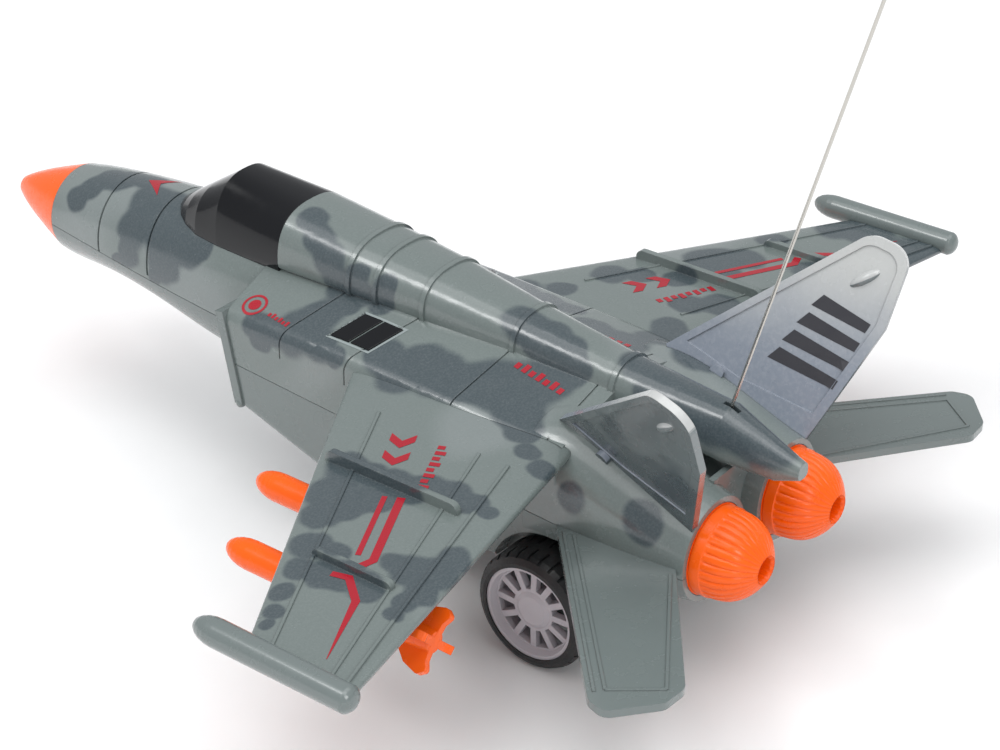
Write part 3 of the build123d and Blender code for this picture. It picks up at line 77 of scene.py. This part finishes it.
# ------------------------------------------------------------------ shader helpers
class Tree:
    """Small wrapper that makes and joins the nodes of one material."""

    def __init__(self, name, space="Object"):
        self.mat = bpy.data.materials.new(name)
        self.mat.use_nodes = True
        self.nodes = self.mat.node_tree.nodes
        self.links = self.mat.node_tree.links
        self.bsdf = self.nodes["Principled BSDF"]
        self.co = self.nodes.new("ShaderNodeTexCoord").outputs[space]

    def put(self, socket, value):
        if isinstance(value, bpy.types.NodeSocket):
            self.links.new(value, socket)
        else:
            socket.default_value = value

    def noise(self, scale, detail=3.0, rough=0.55, co=None):
        n = self.nodes.new("ShaderNodeTexNoise")
        self.put(n.inputs["Vector"], co or self.co)
        self.put(n.inputs["Scale"], scale)
        self.put(n.inputs["Detail"], detail)
        self.put(n.inputs["Roughness"], rough)
        return n

    def math(self, op, a, b=0.0, c=0.0):
        n = self.nodes.new("ShaderNodeMath")
        n.operation = op
        self.put(n.inputs[0], a)
        self.put(n.inputs[1], b)
        self.put(n.inputs[2], c)
        return n.outputs[0]

    def vector(self, op, a, b=(0, 0, 0)):
        n = self.nodes.new("ShaderNodeVectorMath")
        n.operation = op
        self.put(n.inputs[0], a)
        self.put(n.inputs[1], b)
        return n.outputs["Value" if op in ("DISTANCE", "DOT_PRODUCT", "LENGTH") else "Vector"]

    def remap(self, value, a, b, low=0.0, high=1.0):
        n = self.nodes.new("ShaderNodeMapRange")
        n.interpolation_type = "SMOOTHSTEP"
        self.put(n.inputs["Value"], value)
        self.put(n.inputs["From Min"], a)
        self.put(n.inputs["From Max"], b)
        self.put(n.inputs["To Min"], low)
        self.put(n.inputs["To Max"], high)
        return n.outputs["Result"]

    def mix(self, factor, a, b):
        n = self.nodes.new("ShaderNodeMix")
        n.data_type = "RGBA"
        self.put(n.inputs["Factor"], factor)
        self.put(n.inputs["A"], a if isinstance(a, bpy.types.NodeSocket) else (*a, 1))
        self.put(n.inputs["B"], b if isinstance(b, bpy.types.NodeSocket) else (*b, 1))
        return n.outputs["Result"]

    def xyz(self):
        n = self.nodes.new("ShaderNodeSeparateXYZ")
        self.put(n.inputs[0], self.co)
        return n.outputs

    def finish(self, color, rough, metallic=0.0, coat=0.0, bump=None, strength=0.2, bevel=0.0):
        self.put(self.bsdf.inputs["Base Color"], color if isinstance(color, bpy.types.NodeSocket) else (*color, 1))
        self.put(self.bsdf.inputs["Roughness"], rough)
        self.put(self.bsdf.inputs["Metallic"], metallic)
        self.put(self.bsdf.inputs["Coat Weight"], coat)
        self.put(self.bsdf.inputs["Coat Roughness"], 0.12)
        normal = None
        if bevel:
            n = self.nodes.new("ShaderNodeBevel")
            n.samples = 4
            self.put(n.inputs["Radius"], bevel)
            normal = n.outputs["Normal"]
        if bump is not None:
            n = self.nodes.new("ShaderNodeBump")
            self.put(n.inputs["Strength"], strength)
            self.put(n.inputs["Distance"], 0.0002)
            self.put(n.inputs["Height"], bump)
            if normal is not None:
                self.put(n.inputs["Normal"], normal)
            normal = n.outputs["Normal"]
        if normal is not None:
            self.put(self.bsdf.inputs["Normal"], normal)
        return self.mat


def plastic(name, color, rough=0.28, coat=0.35, tint=0.06, bevel=0.0004, glint=0.5):
    """Moulded plastic: faint mottling, uneven gloss and a slight ripple."""
    t = Tree(name)
    t.put(t.bsdf.inputs["Specular IOR Level"], glint)
    large = t.noise(28, 2).outputs["Fac"]
    fine = t.noise(900, 2).outputs["Fac"]
    shade = t.mix(large, [c * (1 - tint) for c in color], [min(1, c * (1 + tint)) for c in color])
    gloss = t.remap(t.noise(160, 4).outputs["Fac"], 0.3, 0.75, rough * 0.8, rough * 1.3)
    ripple = t.math("ADD", large, t.math("MULTIPLY", fine, 0.08))
    return t.finish(shade, gloss, coat=coat, bump=ripple, bevel=bevel)


def camouflage(name):
    """Grey plastic with soft-edged darker patches sprayed on."""
    t = Tree(name)
    wobble = t.vector("SCALE", t.vector("SUBTRACT", t.noise(45, 2).outputs["Color"], (0.5, 0.5, 0.5)))
    wobble.node.inputs["Scale"].default_value = 0.008
    place = t.vector("ADD", t.co, wobble)
    field = 9.0
    for x, y, z, radius in PATCHES:
        away = t.vector("DISTANCE", place, (x * MM, y * MM, z * MM))
        share = t.math("DIVIDE", away, radius * MM)
        field = t.math("SMOOTH_MIN", field, share, 0.4)
    dark = t.remap(field, 1.22, 0.88)
    pale = t.remap(t.noise(18, 1).outputs["Fac"], 0.52, 0.66)
    base = t.mix(pale, (0.145, 0.175, 0.168), (0.185, 0.213, 0.21))
    paint = t.mix(dark, base, (0.052, 0.071, 0.08))
    grain = t.noise(1400, 2).outputs["Fac"]
    paint = t.mix(t.remap(grain, 0.35, 0.75, 0.0, 0.07), paint, (0.4, 0.42, 0.42))
    gloss = t.remap(t.noise(140, 4).outputs["Fac"], 0.3, 0.75, 0.17, 0.3)
    ripple = t.math("ADD", t.noise(26, 2).outputs["Fac"], t.math("MULTIPLY", grain, 0.06))
    return t.finish(paint, gloss, coat=0.5, bump=ripple, bevel=0.0005)


def fin_paint_and_highlight(name):
    """Painted highlight: pale grey-white on the faces that look inwards, which turn upward, paler towards the top;
    grey on the outer ones.
    """
    t = Tree(name)
    geometry = t.nodes.new("ShaderNodeNewGeometry")
    normal = t.nodes.new("ShaderNodeSeparateXYZ")
    t.put(normal.inputs[0], geometry.outputs["True Normal"])
    # painted highlight: faces whose true normal points upward, the inner faces of the canted fins, take the pale
    # tone
    inner = t.remap(normal.outputs["Z"], 0.0, 0.2)
    z = t.xyz()["Z"]
    cloud = t.noise(40, 3).outputs["Fac"]
    # painted highlight: the pale tone is bluish grey low on the fin and brightest towards the top
    high = t.remap(t.math("ADD", z, t.math("MULTIPLY", cloud, 0.02)), 0.088, 0.128)
    upward_highlight = t.mix(high, (0.22, 0.25, 0.3), (0.5, 0.51, 0.5))
    upward_highlight = t.mix(t.remap(t.noise(700, 2).outputs["Fac"], 0.4, 0.7, 0, 0.1), upward_highlight, (0.56, 0.57, 0.6))
    sprayed = t.remap(t.math("ADD", z, t.math("MULTIPLY", cloud, 0.05)), 0.118, 0.108)
    grey = t.mix(sprayed, (0.15, 0.175, 0.18), (0.07, 0.09, 0.1))
    gloss = t.remap(t.noise(120, 4).outputs["Fac"], 0.3, 0.75, 0.2, 0.34)
    return t.finish(t.mix(inner, grey, upward_highlight), gloss, coat=0.4, bump=t.noise(30, 2).outputs["Fac"], bevel=0.0004)


def metal(name, color, rough=0.25, scale=(300, 300, 300)):
    """Bare metal with drawn or brushed streaks."""
    t = Tree(name)
    stretched = t.vector("MULTIPLY", t.co, scale)
    streak = t.noise(1.0, 4, co=stretched).outputs["Fac"]
    shade = t.mix(streak, [c * 0.85 for c in color], color)
    gloss = t.remap(streak, 0.3, 0.7, rough * 0.7, rough * 1.4)
    return t.finish(shade, gloss, metallic=1.0, bump=streak, strength=0.08)


def rubber(name):
    """Black rubber with dust in places."""
    t = Tree(name)
    fine = t.noise(1200, 4).outputs["Fac"]
    dust = t.remap(t.noise(90, 4).outputs["Fac"], 0.45, 0.8)
    shade = t.mix(dust, (0.012, 0.012, 0.013), (0.035, 0.034, 0.033))
    return t.finish(shade, t.remap(fine, 0.3, 0.7, 0.42, 0.62), bump=fine, strength=0.35, bevel=0.0003)


def board_green(name):
    """Circuit board with a grid of tracks."""
    t = Tree(name)
    brick = t.nodes.new("ShaderNodeTexBrick")
    t.put(brick.inputs["Vector"], t.co)
    t.put(brick.inputs["Scale"], 260)
    t.put(brick.inputs["Color1"], (0.02, 0.13, 0.05, 1))
    t.put(brick.inputs["Color2"], (0.03, 0.16, 0.06, 1))
    t.put(brick.inputs["Mortar"], (0.35, 0.3, 0.12, 1))
    t.put(brick.inputs["Mortar Size"], 0.03)
    return t.finish(brick.outputs["Color"], 0.35, coat=0.3, bump=t.noise(500).outputs["Fac"])


def cell_sleeve(name):
    """Battery sleeve in bands along the cell."""
    t = Tree(name)
    y = t.xyz()["Y"]
    band = t.remap(y, 0.048, 0.0485)
    shade = t.mix(band, (0.02, 0.035, 0.09), (0.55, 0.42, 0.2))
    scuff = t.remap(t.noise(300, 4).outputs["Fac"], 0.6, 0.75, 0, 0.3)
    return t.finish(t.mix(scuff, shade, (0.3, 0.3, 0.3)), 0.3, metallic=0.4, bump=t.noise(400).outputs["Fac"])


MATERIALS = {
    "upper_plastic": camouflage("camouflage"),
    "lower_plastic": plastic("grey plastic", (0.15, 0.178, 0.174), rough=0.24, coat=0.45),
    # fins: grey paint, with a painted highlight on the upward-facing inner faces
    "fin_plastic": fin_paint_and_highlight("fin paint and painted highlight"),
    "orange_plastic": plastic("orange plastic", (0.93, 0.115, 0.003), rough=0.24, coat=0.12, tint=0.05, glint=0.3),
    "black_plastic": plastic("black plastic", (0.006, 0.0065, 0.008), rough=0.12, coat=0.0, tint=0.15, glint=0.3),
    "frame_plastic": plastic("dull dark plastic", (0.04, 0.042, 0.045), rough=0.5, coat=0.0),
    "rim_plastic": plastic("pale rim plastic", (0.5, 0.47, 0.5), rough=0.36, coat=0.2),
    "tyre_rubber": rubber("tyre rubber"),
    "gear_plastic": plastic("natural nylon", (0.72, 0.68, 0.58), rough=0.42, coat=0.05),
    "steel": metal("plated steel", (0.72, 0.72, 0.71), 0.22),
    "aerial_steel": metal("aerial steel", (0.6, 0.58, 0.54), 0.24, (400, 400, 60)),
    "motor_steel": metal("motor can steel", (0.58, 0.58, 0.57), 0.34, (60, 900, 900)),
    "brass": metal("brass", (0.78, 0.56, 0.24), 0.26),
    "copper": metal("copper wire", (0.8, 0.36, 0.18), 0.3, (80, 80, 3000)),
    "contact_steel": metal("contact strip", (0.68, 0.68, 0.66), 0.3),
    "cell_casing": cell_sleeve("battery sleeve"),
    "board": board_green("circuit board"),
    "chip": plastic("chip package", (0.02, 0.02, 0.022), rough=0.5, coat=0.0),
    "lamp": plastic("red lamp", (0.6, 0.05, 0.02), rough=0.12, coat=0.8),
}
RED = plastic("red marking", (0.36, 0.004, 0.016), rough=0.3, coat=0.2, bevel=0)
INK = plastic("dark marking", (0.035, 0.035, 0.042), rough=0.35, coat=0.3, bevel=0)
BORDER = plastic("vent border", (0.26, 0.3, 0.3), rough=0.3, bevel=0)


# ------------------------------------------------------------------ mesh helpers
def new_mesh(name, verts, faces, material, angle):
    """Smooth-shaded mesh piece on the airframe, from points in millimetres."""
    data = bpy.data.meshes.new(name)
    data.from_pydata([Vector(v) * MM for v in verts], [], faces)
    data.materials.append(material)
    data.validate()
    obj = bpy.data.objects.new(name, data)
    bpy.context.scene.collection.objects.link(obj)
    shade(obj, angle)
    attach(obj, "airframe")
    return obj


def shade(obj, angle):
    """Smooth shading with sharp edges kept above an angle."""
    bm = bmesh.new()
    bm.from_mesh(obj.data)
    bmesh.ops.remove_doubles(bm, verts=bm.verts, dist=1e-6)
    bmesh.ops.recalc_face_normals(bm, faces=bm.faces)
    limit = math.radians(angle)
    for edge in bm.edges:
        edge.smooth = len(edge.link_faces) == 2 and edge.calc_face_angle(0) < limit
    for face in bm.faces:
        face.smooth = True
    bm.to_mesh(obj.data)
    bm.free()


def tree_of(name):
    """Search tree over one node's faces."""
    mesh = NODES[name].data
    verts = [v.co.copy() for v in mesh.vertices]
    return BVHTree.FromPolygons(verts, [list(p.vertices) for p in mesh.polygons])


def marking(name, outlines, target, material, place=None, lift=0.12, step=2.0):
    """Thin printed shape: flat outlines laid on a surface along a direction.

    place is the plane's origin, its two directions and the direction it is projected along.
    """
    origin, across, along = place or (Vector((0, 0, 130)), Vector((1, 0, 0)), Vector((0, 1, 0)))
    down = across.cross(along).normalized() * -1
    bm = bmesh.new()
    for outline in outlines:
        ring = [bm.verts.new((origin + across * a + along * b) * MM) for a, b in outline]
        bm.faces.new(ring)
    bmesh.ops.triangulate(bm, faces=bm.faces)
    for _ in range(6):
        long_edges = [e for e in bm.edges if e.calc_length() > step * MM]
        if not long_edges:
            break
        bmesh.ops.subdivide_edges(bm, edges=long_edges, cuts=1)
        bmesh.ops.triangulate(bm, faces=bm.faces)
    missed = []
    for vert in bm.verts:
        point, normal, _, _ = target.ray_cast(vert.co - down * 0.05, down, 0.2)
        if point is None:
            missed.append(vert)
        else:
            vert.co = point - down * lift * MM
    bmesh.ops.delete(bm, geom=missed, context="VERTS")
    data = bpy.data.meshes.new(name)
    bm.to_mesh(data)
    bm.free()
    data.materials.append(material)
    obj = bpy.data.objects.new(name, data)
    bpy.context.scene.collection.objects.link(obj)
    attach(obj, "airframe")


def strip(points, width):
    """Outlines of a line of even width through points, as separate quads with mitred joints."""
    flat = [Vector(p) for p in points]
    sides = []
    for i, p in enumerate(flat):
        before = (p - flat[i - 1]).normalized() if i else (flat[1] - p).normalized()
        after = (flat[i + 1] - p).normalized() if i < len(flat) - 1 else before
        normal = Vector((-(before + after).y, (before + after).x)).normalized()
        w = width[i] if isinstance(width, (list, tuple)) else width
        reach = w / 2 / max(0.4, normal.dot(Vector((-before.y, before.x))))
        sides.append((p + normal * reach, p - normal * reach))
    return [[tuple(a[0]), tuple(a[1]), tuple(b[1]), tuple(b[0])] for a, b in zip(sides, sides[1:])]


def ring_outline(x, y, outer, inner, count=32):
    """Flat ring, or a disc where the inner radius is 0, as quads."""
    quads = []
    for i in range(count):
        a = 2 * math.pi * i / count
        b = 2 * math.pi * (i + 1) / count
        quads.append([(x + r * math.cos(t), y + r * math.sin(t)) for r, t in
                      ((outer, a), (outer, b), (inner, b), (inner, a))])
    return quads


def dashes(start, end, tall, count=7, share=0.62):
    """Row of short upright bars between two points."""
    a = Vector(start)
    d = (Vector(end) - a) / count
    n = Vector((-d.y, d.x)).normalized() * tall
    out = []
    for i in range(count):
        p = a + d * i
        q = p + d * share
        high = n * (1.0 if i % 2 else 0.7)
        out.append([tuple(p), tuple(q), tuple(q + high), tuple(p + high)])
    return out


def chevrons(start, end, tall, count=2):
    """Bold arrow heads in a row."""
    a = Vector(start)
    d = (Vector(end) - a) / count
    n = Vector((-d.y, d.x)).normalized() * tall
    out = []
    for i in range(count):
        p = a + d * i
        w = d * 0.42
        tip = d * 0.4
        out.append([tuple(p), tuple(p + w), tuple(p + w + tip + n / 2), tuple(p + tip + n / 2)])
        out.append([tuple(p + tip + n / 2), tuple(p + w + tip + n / 2), tuple(p + w + n), tuple(p + n)])
    return out


def mirror_outline(outlines):
    """The same outlines on the other side of the middle plane."""
    return [[(-x, y) for x, y in reversed(o)] for o in outlines]


# ------------------------------------------------------------------ carried-over nodes
SLOT_OF = {s["node"]: s["material_slot"] for s in frame["record"]["subparts"]}
for node_name, node in NODES.items():
    node.data.materials.clear()
    node.data.materials.append(MATERIALS[SLOT_OF[node_name]])


# ------------------------------------------------------------------ markings
WINGS = {1: tree_of("left_wing"), -1: tree_of("right_wing")}
SHELL = tree_of("upper_shell")
for side in (1, -1):
    label = "left" if side > 0 else "right"
    shapes = chevrons((60.5, 45.5), (77.0, 53.6), 8.0)
    shapes += dashes((57.6, 61.4), (79.5, 70.2), 3.4, 8)
    shapes += strip([(84.8, 69.3), (112.6, 82.0), (117.6, 80.4)], 2.6)
    shapes += strip([(87.0, 64.8), (113.2, 76.8)], 1.7)
    shapes += strip([(124.0, 76.2), (122.6, 81.6), (129.5, 90.0), (153.0, 99.8)], [2.2, 2.4, 2.4, 0.2])
    if side < 0:
        shapes = mirror_outline(shapes)
    marking(label + "_wing_marking", shapes, WINGS[side], RED)
    row = dashes((16.9, 58.6), (19.4, 79.5), 3.4, 7)
    badge = ring_outline(33.0, -36.2, 4.4, 3.5) + ring_outline(33.0, -36.2, 2.2, 0.0)
    badge += dashes((35.0, -29.0), (36.4, -19.0), 2.0, 6)
    if side < 0:
        row = mirror_outline(row)
        badge = mirror_outline(badge)
    marking(label + "_deck_marking", row + badge, SHELL, RED, step=1.2)
    vent = [(20.6, 1.3), (33.7, -3.9), (33.7, 13.2), (20.6, 18.4), (20.6, 1.3), (33.7, -3.9)]
    edge = strip(vent, 0.8)
    if side < 0:
        edge = mirror_outline(edge)
    marking(label + "_vent_border", edge, SHELL, BORDER, step=1.5)
arrow = [[(-6.5, -106.5), (0.0, -117.0), (0.0, -111.0)], [(0.0, -117.0), (6.5, -106.5), (0.0, -111.0)]]
marking("nose_marking", arrow, SHELL, RED, step=1.2)

# Plain swept bars on the inner faces of the fins, in each fin's own plane.
FIN_ROOT = (28.2, 86.0, 79.3)
FIN_CANT = math.radians(24.4)
FIN_TOE = math.radians(10.6)
BAR_COUNT = 4
BAR_STEP = 6.6
for side in (1, -1):
    label = "left" if side > 0 else "right"
    up = Vector((math.sin(FIN_CANT) * side, 0, math.cos(FIN_CANT)))
    drop = -math.tan(FIN_CANT) * math.sin(FIN_TOE)
    back = Vector((math.sin(FIN_TOE) * side, math.cos(FIN_TOE), drop)).normalized()
    inner = up.cross(back).normalized() * side
    base = Vector((FIN_ROOT[0] * side, FIN_ROOT[1], FIN_ROOT[2])) + inner * 20
    bars = []
    for k in range(BAR_COUNT):
        high = k * BAR_STEP
        bars.append([(33.0 + k * 3.0, 6.0 + high), (56.0 + k * 1.6, 2.5 + high),
                     (57.0 + k * 1.6, 5.6 + high), (36.0 + k * 3.0, 10.2 + high)])
    place = (base, back, inner.cross(back))
    flat = [[(a, -b * side) for a, b in bar] for bar in bars]
    tree = tree_of(label + "_fin")
    marking(label + "_fin_marking", flat, tree, INK, place, lift=0.1, step=4.0)


# ------------------------------------------------------------------ nozzles
NOZZLE_MIDDLE = (20.5, 137.5, 48.2)
NOZZLE_RADIUS = 14.5
NOZZLE_EXIT = 5.0
NOZZLE_LENGTH = 18.5
RIBS = 30
RIB_POINTS = 8
RIB_DEPTH = 0.5
COLLAR = 0.2                   # smooth share of the length, ahead of the ribs


def nozzle(side):
    """Ribbed orange nozzle with a flange, a smooth collar and a small open end."""
    count = RIBS * RIB_POINTS
    turns = [2 * math.pi * i / count for i in range(count)]
    x0, y0, z0 = NOZZLE_MIDDLE[0] * side, NOZZLE_MIDDLE[1], NOZZLE_MIDDLE[2]
    rows = []
    for y, r in ((-1.5, 14.2), (-1.5, 14.85), (0.0, 14.85)):
        rows.append([(x0 + r * math.cos(a), y0 + y, z0 + r * math.sin(a)) for a in turns])
    steps = [0.0, 0.02, 0.1, 0.18, 0.2, 0.215, 0.26] + [0.26 + 0.74 * i / 22 for i in range(1, 23)]
    for u in steps:
        r = NOZZLE_EXIT + (NOZZLE_RADIUS - NOZZLE_EXIT) * (1 - u ** 3.6)
        cut = min(1.0, max(0.0, (u - COLLAR) / 0.05))
        if u > COLLAR:
            r -= 0.25
        depth = RIB_DEPTH * cut * (0.35 + 0.65 * r / NOZZLE_RADIUS)
        ring = []
        for i, a in enumerate(turns):
            phase = (i % RIB_POINTS) / RIB_POINTS
            groove = max(0.0, 1 - abs(phase - 0.5) / 0.2)
            rr = r - depth * groove - (0.5 if u == 0.0 else 0.0)
            ring.append((x0 + rr * math.cos(a), y0 + NOZZLE_LENGTH * u, z0 + rr * math.sin(a)))
        rows.append(ring)
    for y, r in ((18.3, 4.6), (17.6, 4.1), (15.0, 3.9), (9.0, 3.8), (9.0, 2.55)):
        ring = []
        for i, a in enumerate(turns):
            notch = 0.25 if (i // 10) % 2 and 9.5 < y < 17.8 else 0.0
            ring.append((x0 + (r - notch) * math.cos(a), y0 + y, z0 + (r - notch) * math.sin(a)))
        rows.append(ring)
    verts = [p for ring in rows for p in ring]
    faces = []
    for k in range(len(rows) - 1):
        for i in range(count):
            j = (i + 1) % count
            faces.append((k * count + i, k * count + j, (k + 1) * count + j, (k + 1) * count + i))
    label = "left" if side > 0 else "right"
    orange = MATERIALS["orange_plastic"]
    obj = new_mesh(label + "_ribbed_nozzle", verts, faces, orange, 40)
    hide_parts(label + "_nozzle")


nozzle(1)
nozzle(-1)


# ------------------------------------------------------------------ room, light and camera
AIM = (0, 0, 0.05)


def softbox(name, place, target, size, power):
    """Rectangular lamp that faces a point."""
    light = bpy.data.lights.new(name, "AREA")
    light.shape = "RECTANGLE"
    light.size, light.size_y = size
    light.energy = power
    obj = bpy.data.objects.new(name, light)
    obj.location = place
    obj.rotation_euler = (Vector(target) - Vector(place)).to_track_quat("-Z", "Y").to_euler()
    bpy.context.scene.collection.objects.link(obj)


floor_paint = Tree("pale floor")
speck = floor_paint.noise(40, 3).outputs["Fac"]
floor_paint.finish(floor_paint.mix(speck, (0.86, 0.86, 0.86), (0.9, 0.9, 0.9)), 0.7)
bpy.ops.mesh.primitive_plane_add(size=30, location=(0, 0, -0.0002))
floor = bpy.context.object
floor.name = "floor"
floor.data.materials.append(floor_paint.mat)

world = bpy.data.worlds.new("studio")
world.use_nodes = True
world.node_tree.nodes["Background"].inputs["Color"].default_value = (0.95, 0.97, 1.0, 1)
world.node_tree.nodes["Background"].inputs["Strength"].default_value = 0.5
bpy.context.scene.world = world
bpy.context.scene.view_settings.view_transform = "Standard"


def wide_sun(name, toward, power, spread):
    """Even light over the whole floor, with soft shadows."""
    light = bpy.data.lights.new(name, "SUN")
    light.energy = power
    light.angle = math.radians(spread)
    obj = bpy.data.objects.new(name, light)
    obj.rotation_euler = Vector(toward).to_track_quat("Z", "Y").to_euler()
    bpy.context.scene.collection.objects.link(obj)


wide_sun("sky left", (0.45, -0.1, 1.2), 1.15, 60)
wide_sun("sky top", (-0.1, 0.25, 1.0), 1.1, 60)
softbox("key", (0.9, -0.6, 1.5), AIM, (0.6, 0.35), 5)
softbox("rear fill", (0.5, 1.1, 0.7), AIM, (0.3, 0.5), 3)

camera_data = bpy.data.cameras.new("camera")
camera_data.lens = 86.4
camera_data.sensor_width = 36.0
camera = bpy.data.objects.new("camera", camera_data)
right = Vector((-0.61126, 0.79143, -0.0006))
up = Vector((-0.40349, -0.31100, 0.86051))
toward = Vector((0.68085, 0.52624, 0.50943))
camera.matrix_world = Matrix((
    (right.x, up.x, toward.x, 0.5308),
    (right.y, up.y, toward.y, 0.4505),
    (right.z, up.z, toward.z, 0.4614),
    (0, 0, 0, 1)))
bpy.context.scene.collection.objects.link(camera)
bpy.context.scene.camera = camera
